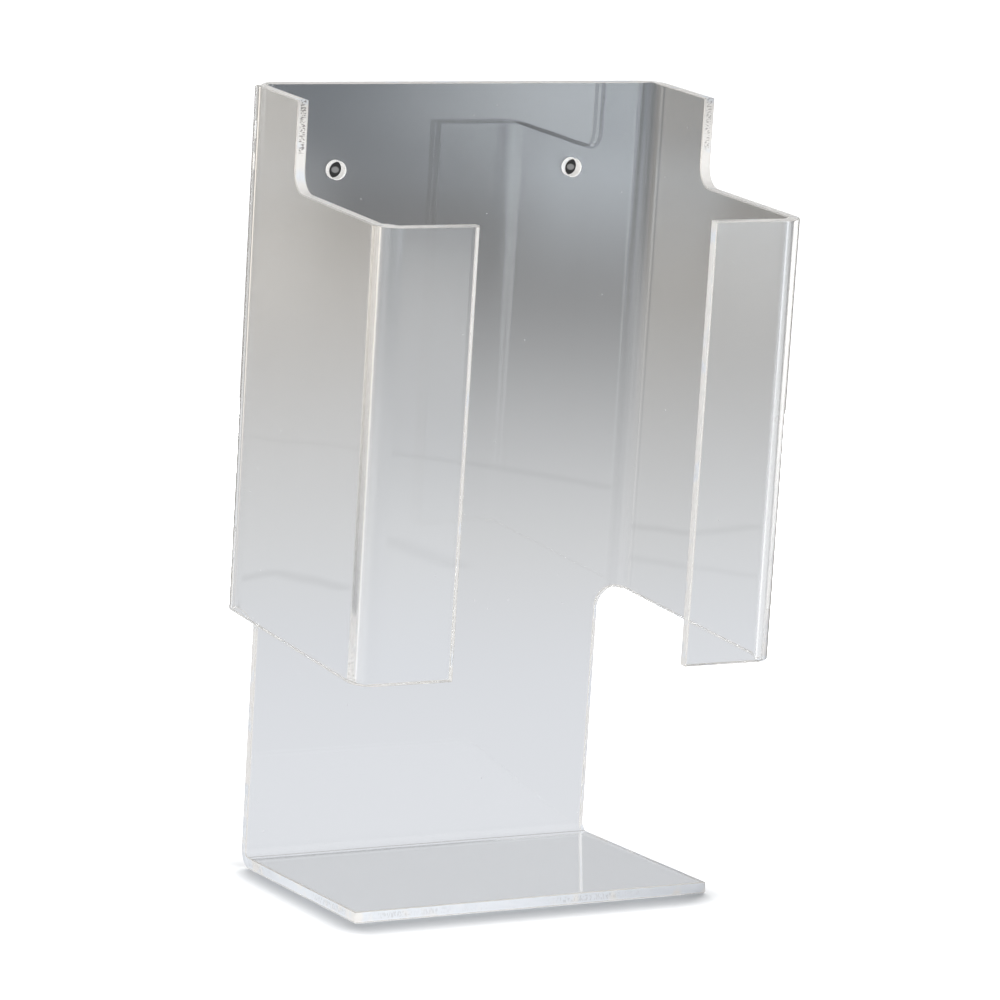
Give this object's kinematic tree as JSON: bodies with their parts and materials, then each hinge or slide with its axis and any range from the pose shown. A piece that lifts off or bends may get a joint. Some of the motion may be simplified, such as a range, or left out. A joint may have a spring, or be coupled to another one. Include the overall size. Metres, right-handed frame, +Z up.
{
  "type": "wipe box holder",
  "caption": "Stand for a box of laboratory wipes, folded from one sheet of clear acrylic: back panel, side wings with front lips, and a foot.",
  "frame": {"origin": "on the bench, under the middle of the base's depth, on the plane of symmetry", "axes": "+Z up, the open front faces -Y, +X to the right of someone who looks at the front along +Y"},
  "size_m": [0.127, 0.108, 0.2236],
  "materials": {
    "clear_acrylic": "clear colourless acrylic, polished faces, finely sawn and polished edges"
  },
  "bodies": {
    "root": {"folded_sheet": "clear_acrylic"}
  },
  "joints": []
}
